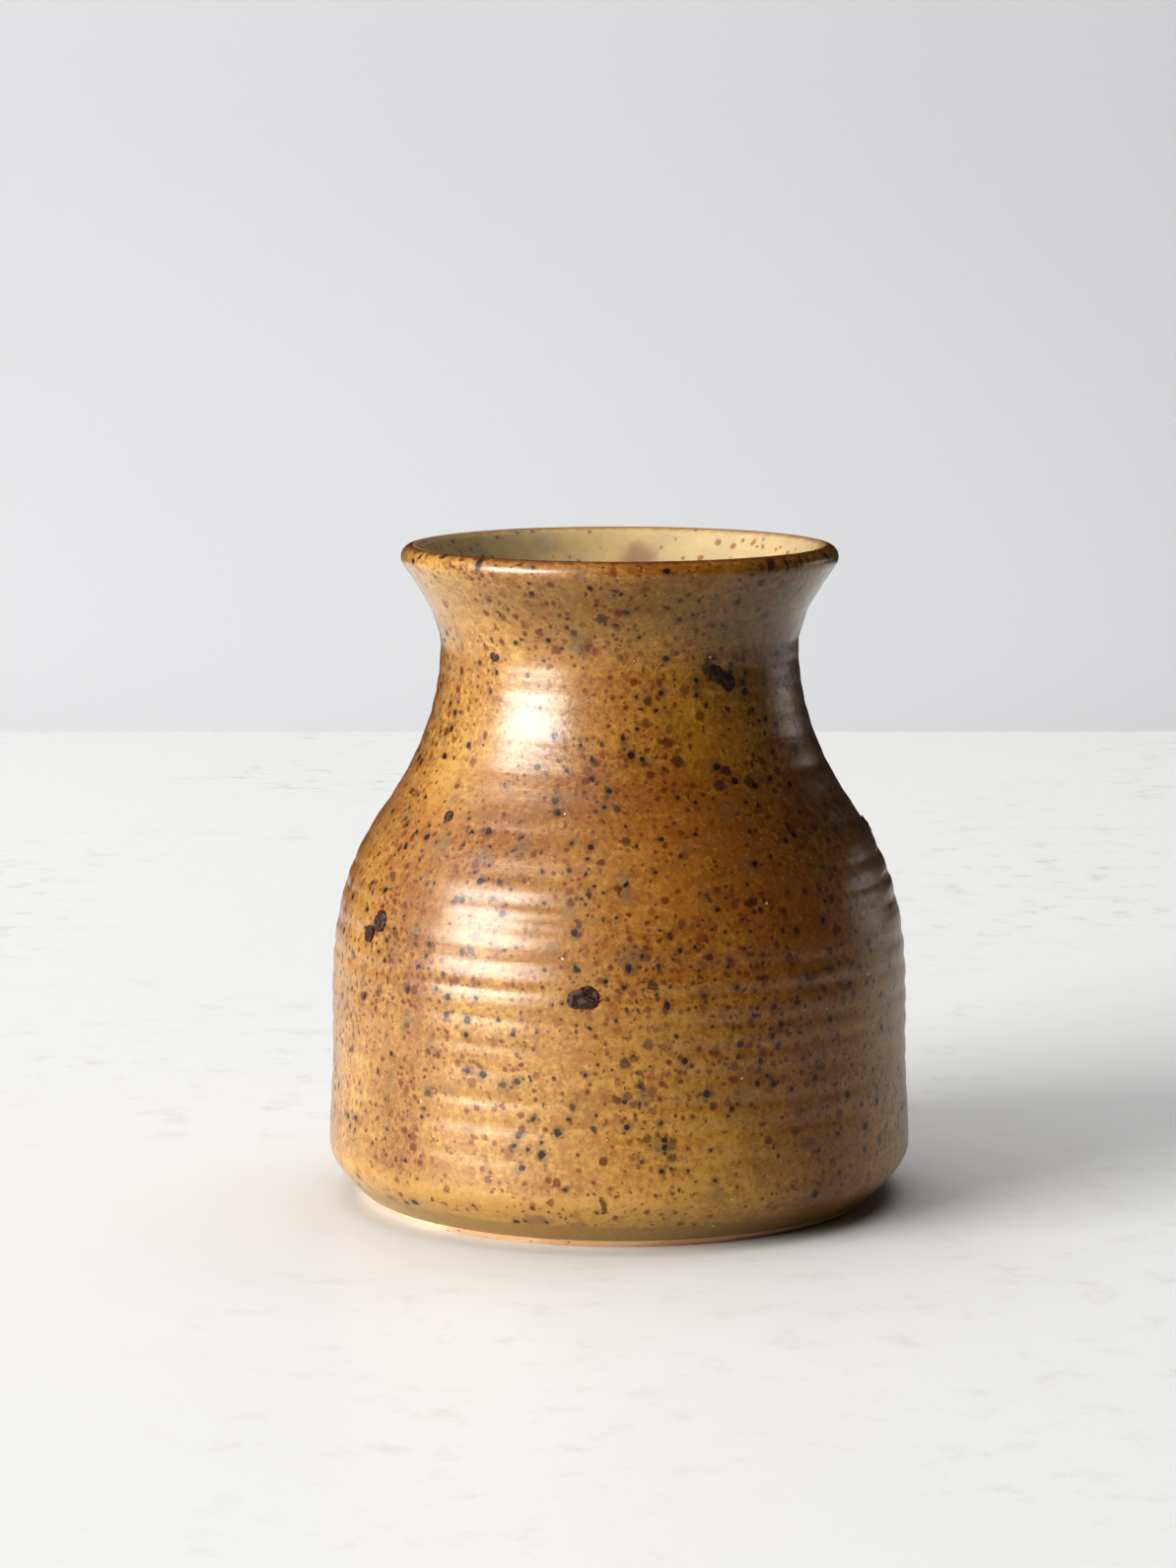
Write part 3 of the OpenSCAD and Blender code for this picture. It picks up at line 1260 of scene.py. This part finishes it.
@dataclass
class OuterCoat(ThrownPart):
    """The amber coat, a thin shell from the glaze line to the crest of the lip."""

    piece: str = "amber_glaze_coat"
    node: str = "outer_glaze"
    skin: Skin = Skin.AMBER
    points_round: int = 360
    ridge_depth: float = 0.36 * MM
    ridge_pitch: float = 5.3 * MM
    finger_line_depth: float = 0.018 * MM
    wobble: float = 0.22 * MM
    seed: float = 3.1
    row: float = 0.68 * MM
    back_row: float = 9.0 * MM
    hardest_press: float = 56.0 * MM
    press_spread: float = 26.0 * MM
    lightest_press: float = 0.3
    lip_steps: int = 14

    def outline(self) -> list[OutlinePoint]:
        """Draws the shell: a rounded lower edge, the outside up to the crest, and the back down.

        Returns:
            The closed outline.
        """
        form = self.form
        top = form.outer.stations[-1].z
        start = form.bare_h
        roll = form.glaze_t / 2
        edge = turned_arc(form.outer.radius(start) - roll, start + roll, roll, -math.pi, 0.0, 6)
        wall = form.outer.climb(start + 1.2 * form.glaze_t, top, self.row)
        fade = form.bevel_h
        wall = [OutlinePoint(p.r, p.z, self.pressed(p.z, fade, top)) for p in wall]
        lip = form.lip(-form.flare_angle, math.pi / 2, 0.0, self.lip_steps)[1:]
        lip_back = form.lip(math.pi / 2, -form.flare_angle, form.glaze_t, 5)
        back = sunk(form.outer.climb(top, start + 1.2 * form.glaze_t, self.back_row), -form.glaze_t)[1:]
        return [*edge, *wall, *lip, *lip_back, *back, edge[0]]

    def pressed(self, z: float, low: float, high: float) -> float:
        """Finds how hard the fingers pressed: hardest on the upper belly, lightly on the neck.

        Args:
            z: Height on the wall.
            low: Height where the marks begin.
            high: Height where the marks end.

        Returns:
            The share of the full depth.
        """
        belly = math.exp(-(((z - self.hardest_press) / self.press_spread) ** 2))
        ends = min(1.0, max(0.0, (z - low) / low), (high - z) / low)
        return ends * (self.lightest_press + (1 - self.lightest_press) * belly)


@dataclass
class Liner(ThrownPart):
    """The coat inside the vase, from the crest of the lip down over the floor."""

    piece: str = "liner_glaze_coat"
    node: str = "liner_glaze"
    skin: Skin = Skin.LINER
    ridge_depth: float = 0.25 * MM
    finger_line_depth: float = 0.01 * MM
    seed: float = 9.4
    row: float = 1.1 * MM
    back_row: float = 9.0 * MM

    def outline(self) -> list[OutlinePoint]:
        """Draws the shell: crest, inner wall, corner, floor, and back up under the coat.

        Returns:
            The outline, closed at the crest.
        """
        form = self.form
        top = form.inner.stations[-1].z
        low = form.floor_t + form.corner_r
        lip = form.lip(math.pi / 2, math.pi - form.flare_angle, 0.0, 8)
        wall = form.inner.climb(top, low, self.row)[1:]
        corner = form.floor_corner(0.0, 12)[1:]
        inner_r = corner[-1].r
        floor = [OutlinePoint(inner_r * (1 - i / 20), form.floor_t, 0.6) for i in range(1, 21)]
        under = [OutlinePoint(inner_r * i / 4, form.floor_t - form.glaze_t) for i in range(5)]
        back_corner = list(reversed(form.floor_corner(form.glaze_t, 4)))[1:]
        back = sunk(form.inner.climb(low, top, self.back_row), form.glaze_t)[1:-1]
        back_lip = list(reversed(form.lip(math.pi / 2, math.pi - form.flare_angle, form.glaze_t, 4)))
        return [*lip, *wall, *corner, *floor, *under, *back_corner, *back, *back_lip, lip[0]]


@dataclass
class ClayBody(ThrownPart):
    """The stoneware itself, bare on the foot and covered everywhere else."""

    piece: str = "stoneware_body"
    node: str = "clay_body"
    points_round: int = 288
    hidden_row: float = 3.0 * MM
    hidden_sink: float = 0.9 * MM
    tool_mark: float = 2.2 * MM
    tool_mark_depth: float = 0.06 * MM
    softened: float = 0.5 * MM

    def underside(self) -> list[OutlinePoint]:
        """Draws the recess with its turned rings, and the foot ring with its softened edges.

        Returns:
            The points, from the axis outwards.
        """
        form = self.form
        outer = form.foot_r - form.glaze_t
        inner = outer - form.foot_ring_w
        soft, count, deep = self.softened, 60, form.foot_recess
        recess = []
        for i in range(count + 1):
            r = (inner - deep) * i / count
            swell = self.tool_mark_depth * math.cos(math.tau * r / self.tool_mark)
            recess.append(OutlinePoint(r, deep + swell))
        slope = [OutlinePoint(inner - deep * (1 - t), deep * (1 - t)) for t in (0.3, 0.6, 0.85)]
        inner_edge = turned_arc(inner + soft, soft, soft, -math.pi * 3 / 4, -math.pi / 2, 4)
        outer_edge = turned_arc(outer - soft, soft, soft, -math.pi / 2, -math.atan(form.bevel_lean), 6)
        return [*recess, *slope, *inner_edge, *outer_edge]

    def outline(self) -> list[OutlinePoint]:
        """Draws the whole body.

        Returns:
            The outline, from the axis under the foot to the axis on the floor.
        """
        form = self.form
        sink = form.glaze_t
        top = form.outer.stations[-1].z
        bevel = sunk(form.outer.climb(0.8 * MM, form.bare_h + 0.6 * MM, 0.2 * MM), -sink)
        wall = sunk(form.outer.climb(form.bare_h + 1.5 * MM, top, self.hidden_row), -self.hidden_sink)
        lip = form.lip(-form.flare_angle, math.pi - form.flare_angle, self.hidden_sink, 12)[1:]
        low = form.floor_t + form.corner_r
        inside = sunk(form.inner.climb(form.inner.stations[-1].z, low, self.hidden_row), self.hidden_sink)[1:]
        corner = form.floor_corner(self.hidden_sink, 6)[1:]
        floor = OutlinePoint(0.0, form.floor_t - self.hidden_sink)
        return [*self.underside(), *bevel, *wall, *lip, *inside, *corner, floor]


# Studio


@dataclass(frozen=True)
class SoftLight:
    """A rectangular light: where it hangs as a bearing, a rise and a distance from what it faces."""

    name: str
    bearing: float
    above: float
    away: float
    width: float
    height: float
    watts: float
    colour: Colour = (1.0, 1.0, 1.0)
    aim: Point = (0.0, 0.0, 0.0635)
    mirrored: bool = True

    def place(self) -> None:
        """Hangs the light."""
        bearing, above = math.radians(self.bearing), math.radians(self.above)
        level = math.cos(above)
        back = Vector((math.cos(bearing) * level, math.sin(bearing) * level, math.sin(above)))
        data = bpy.data.lights.new(self.name, "AREA")
        data.shape = "RECTANGLE"
        data.size = self.width
        data.size_y = self.height
        data.energy = self.watts
        data.color = self.colour
        light = bpy.data.objects.new(self.name, data)
        light.visible_glossy = self.mirrored
        light.location = Vector(self.aim) + back * self.away
        light.rotation_euler = (-back).to_track_quat("-Z", "Y").to_euler()
        bpy.context.scene.collection.objects.link(light)


@dataclass
class Studio:
    """Pale table, grey wall, window light from the left, and the camera."""

    table_half: float = 2.2
    table_back: float = 0.715
    wall_half: float = 6.6
    wall_back: float = 1.9
    wall_low: float = -1.2
    wall_high: float = 2.6
    camera_away: float = 0.8732
    camera_up: float = 0.2009
    camera_side: float = -0.0061
    camera_tilt: float = 7.87
    lens: float = 104.2
    sensor: float = 36.0
    exposure: float = -0.5
    air_colour: Colour = (0.80, 0.85, 0.92)
    air_glow: float = 0.04
    far_colour: Colour = (0.80, 0.81, 0.83)
    lights: tuple[SoftLight, ...] = (
        SoftLight("window", -146.5, 17.0, 3.2, 2.2, 1.5, 200.0, (1.0, 0.985, 0.965)),
        SoftLight("room_glow", -155.0, 38.0, 3.0, 5.2, 3.2, 50.0, (1.0, 0.99, 0.98)),
        SoftLight("back_glow", 75.0, 79.0, 2.4, 2.4, 1.8, 46.0, (1.0, 0.99, 0.98), mirrored=False),
        SoftLight("far_glow", 33.0, 5.5, 1.8, 0.8, 0.34, 1.25, (1.0, 0.98, 0.97)),
        SoftLight("wall_wash", -95.0, 0.0, 1.15, 2.6, 0.5, 16.0, (0.98, 0.99, 1.0), (-0.15, 1.9, 0.6)),
    )

    def sheet(
        self, name: str, corners: Sequence[Point], finish: PaleTable | GreyWall, mirrored: bool
    ) -> None:
        """Makes a flat sheet of the stage.

        Args:
            name: Its name.
            corners: Its four corners.
            finish: Its finish.
            mirrored: Whether the glaze reflects it.
        """
        mesh = bpy.data.meshes.new(name)
        mesh.from_pydata(corners, [], [(0, 1, 2, 3)])
        mesh.materials.append(finish.material())
        made = bpy.data.objects.new(name, mesh)
        made.visible_glossy = mirrored
        bpy.context.scene.collection.objects.link(made)

    def air(self) -> bpy.types.World:
        """Makes the studio's air: a faint cool glow on things, and pale grey where nothing stands.

        Returns:
            The world.
        """
        world = bpy.data.worlds.new("studio_air")
        world.use_nodes = True
        bench = Bench(world.node_tree)
        bench.tree.nodes.clear()
        seen = bench.add("ShaderNodeLightPath").outputs["Is Camera Ray"]
        glow = bench.out("ShaderNodeBackground", {"Color": self.air_colour, "Strength": self.air_glow})
        far = bench.out("ShaderNodeBackground", {"Color": self.far_colour, "Strength": 1.0})
        mixed = bench.out("ShaderNodeMixShader", {0: seen, 1: glow, 2: far})
        bench.add("ShaderNodeOutputWorld", {0: mixed})
        return world

    def set_up(self) -> None:
        """Builds the stage, lights it and places the camera."""
        half, back = self.table_half, self.table_back
        corners = [(-half, -half, 0), (half, -half, 0), (half, back, 0), (-half, back, 0)]
        self.sheet("table_top", corners, PaleTable(), mirrored=True)
        half, wall, low, high = self.wall_half, self.wall_back, self.wall_low, self.wall_high
        corners = [(-half, wall, low), (half, wall, low), (half, wall, high), (-half, wall, high)]
        self.sheet("back_wall", corners, GreyWall(), mirrored=False)
        for light in self.lights:
            light.place()
        scene = bpy.context.scene
        scene.world = self.air()
        data = bpy.data.cameras.new("camera")
        data.lens = self.lens
        data.sensor_width = self.sensor
        camera = bpy.data.objects.new("camera", data)
        camera.location = (self.camera_side, -self.camera_away, self.camera_up)
        camera.rotation_euler = (math.radians(90.0 - self.camera_tilt), 0.0, 0.0)
        scene.collection.objects.link(camera)
        scene.camera = camera
        scene.view_settings.view_transform = "Standard"
        scene.view_settings.look = "High Contrast"
        scene.view_settings.exposure = self.exposure


def main() -> None:
    """Builds the vase piece by piece, then the studio round it."""
    logging.basicConfig(level=logging.INFO, format="%(name)s %(message)s")
    form = VaseForm(height=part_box("liner_glaze")[1].z, belly_r=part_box("outer_glaze")[1].x)
    wheel = Wheel()
    spots = IronSpots(form)
    points = spots.scatter()
    ClayBody(form, wheel).build(points, BareClay())
    Liner(form, wheel).build(points, LinerGlaze(height_mm=form.height / MM))
    OuterCoat(form, wheel).build(points, AmberGlaze(height_mm=form.height / MM))
    spots.melt(MeltedIron())
    Studio().set_up()


if __name__ == "__main__":
    main()
